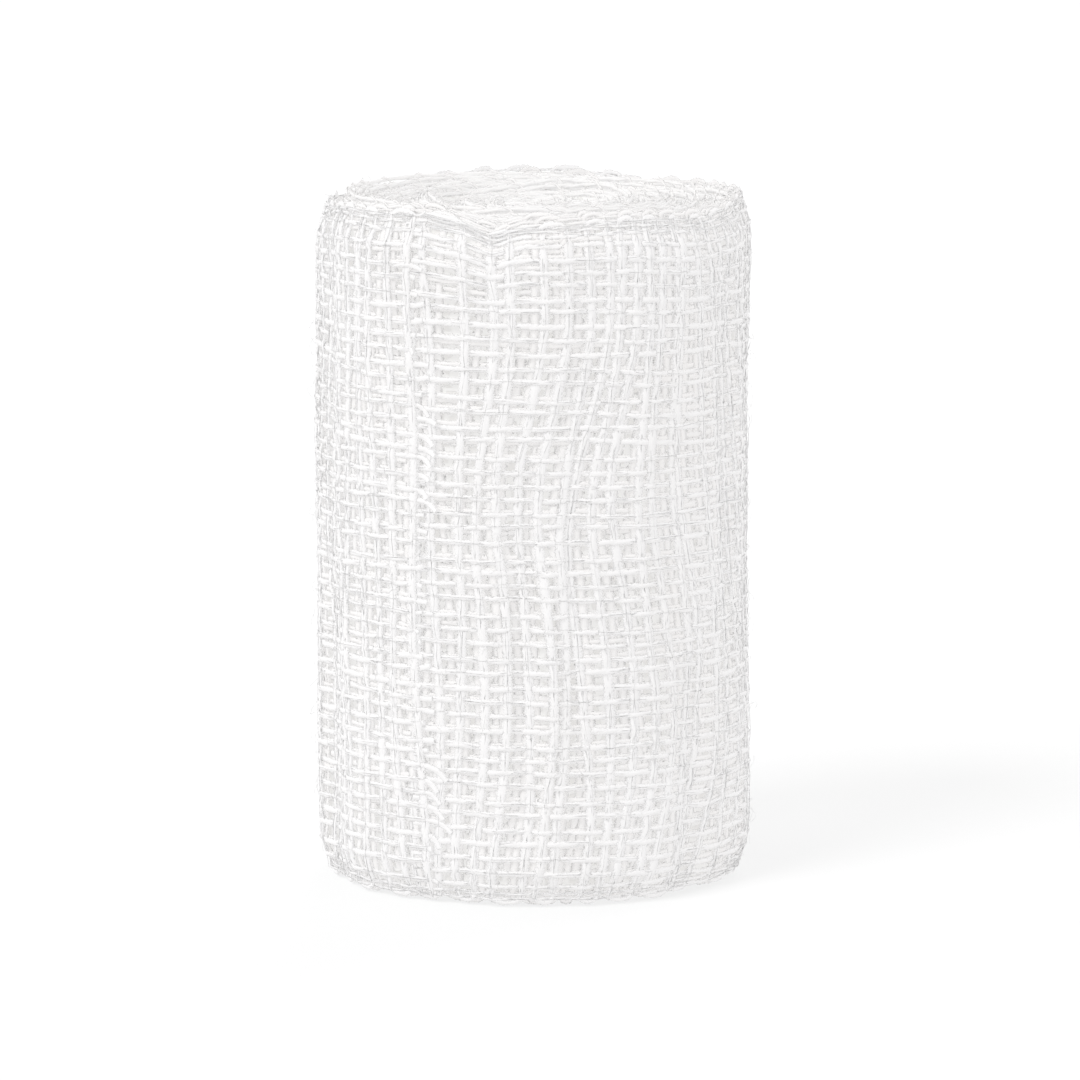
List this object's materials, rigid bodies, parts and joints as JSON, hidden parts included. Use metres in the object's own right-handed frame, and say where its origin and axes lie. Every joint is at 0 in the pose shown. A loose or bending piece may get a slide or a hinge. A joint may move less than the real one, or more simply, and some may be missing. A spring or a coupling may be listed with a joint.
{
  "type": "gauze bandage roll",
  "caption": "Narrow open-weave cotton gauze strip wound without a core into a short round roll, stood on one end, with a loose outer end.",
  "frame": {"origin": "centre of the roll's foot, on the surface it stands on", "axes": "+Z along the roll's axis, upwards; the side that faces the viewer looks along -Y, and +X is to the viewer's right"},
  "size_m": [0.0252, 0.0248, 0.0405],
  "materials": {
    "gauze": "matte"
  },
  "bodies": {
    "root": {"gauze_roll": "gauze"}
  },
  "joints": []
}
